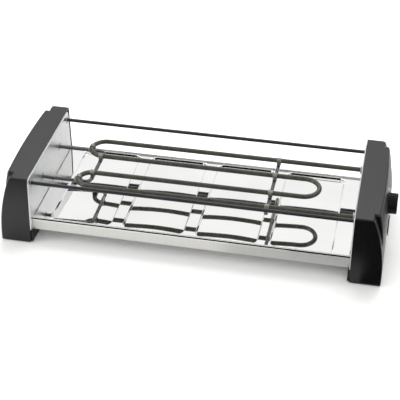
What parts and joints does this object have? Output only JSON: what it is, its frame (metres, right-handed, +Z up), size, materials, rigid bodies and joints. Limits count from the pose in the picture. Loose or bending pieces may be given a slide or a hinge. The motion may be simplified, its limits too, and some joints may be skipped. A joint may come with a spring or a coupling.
{
  "type": "raclette grill base",
  "caption": "Base of a long table raclette grill: open bent element and chromed rods over a mirror-bright tray with shallow bays, between two black end housings, one with a heat knob.",
  "frame": {"origin": "under the middle of the whole object, on the surface that it stands on", "axes": "+X along the grill towards the knob, +Y towards the back, +Z up"},
  "size_m": [0.5232, 0.2058, 0.099],
  "materials": {
    "housing_plastic": "fine satin grain, moulded",
    "cover_plastic": "moulded, matt",
    "foot_rubber": "matt",
    "plate_steel": "polished stainless steel",
    "tray_sheet": "mirror-bright",
    "element_sheath": "oxidised dark olive",
    "wire_chrome": "bright",
    "clip_steel": "pressed sheet, plain",
    "fastener_steel": "zinc plated",
    "knob_plastic": "satin black",
    "inlet_plastic": "moulded",
    "ceramic": "unglazed ceramic",
    "lens_plastic": "milky white",
    "lamp_glass": "clear",
    "wiring_plastic": "plain",
    "earth_brass": "plain",
    "lead_insulation": "silicone sleeve"
  },
  "bodies": {
    "base": {"left_housing": "housing_plastic", "right_housing": "housing_plastic", "left_bottom_cover": "cover_plastic", "right_bottom_cover": "cover_plastic", "front_left_foot": "foot_rubber", "rear_left_foot": "foot_rubber", "front_right_foot": "foot_rubber", "rear_right_foot": "foot_rubber", "left_side_plate": "plate_steel", "right_side_plate": "plate_steel", "reflector_tray": "tray_sheet", "heating_element": "element_sheath", "front_rod": "wire_chrome", "rear_rod": "wire_chrome", "left_wire_bracket": "wire_chrome", "right_brace_wire": "wire_chrome", "rear_outer_brace_clip": "clip_steel", "rear_inner_brace_clip": "clip_steel", "front_inner_brace_clip": "clip_steel", "front_outer_brace_clip": "clip_steel", "front_bend_clip": "clip_steel", "front_cross_clip": "clip_steel", "rear_bend_clip": "clip_steel", "rear_cross_clip": "clip_steel", "left_cover_screws": "fastener_steel", "right_cover_screws": "fastener_steel", "left_plate_nuts": "fastener_steel", "right_plate_nuts": "fastener_steel", "tray_screws": "fastener_steel", "tray_nuts": "fastener_steel", "bracket_push_nuts": "fastener_steel", "rod_push_nuts": "fastener_steel", "element_bushes": "fastener_steel", "element_pins": "fastener_steel", "thermostat_screws": "fastener_steel", "cord_clamp_screws": "fastener_steel", "cord_inlet_bush": "inlet_plastic", "inlet_bush_nut": "inlet_plastic", "cord_clamp": "inlet_plastic", "element_seals": "ceramic", "thermostat_body": "ceramic", "pilot_lens": "lens_plastic", "pilot_lamp": "lamp_glass", "terminal_block": "wiring_plastic", "thermal_cutout": "wiring_plastic", "earth_tab": "earth_brass", "live_lead": "lead_insulation", "thermostat_lead": "lead_insulation", "cutout_lead": "lead_insulation", "neutral_lead": "lead_insulation", "earth_lead": "lead_insulation"},
    "control": {"control_knob": "knob_plastic", "thermostat_spindle": "fastener_steel", "knob_spring_clip": "fastener_steel"}
  },
  "joints": [
    {"name": "knob_turn", "type": "hinge", "parent": "base", "child": "control", "pos_m": [0.25135, 0, 0.0625], "axis": [-1, 0, 0], "range_deg": [0, 270]}
  ]
}
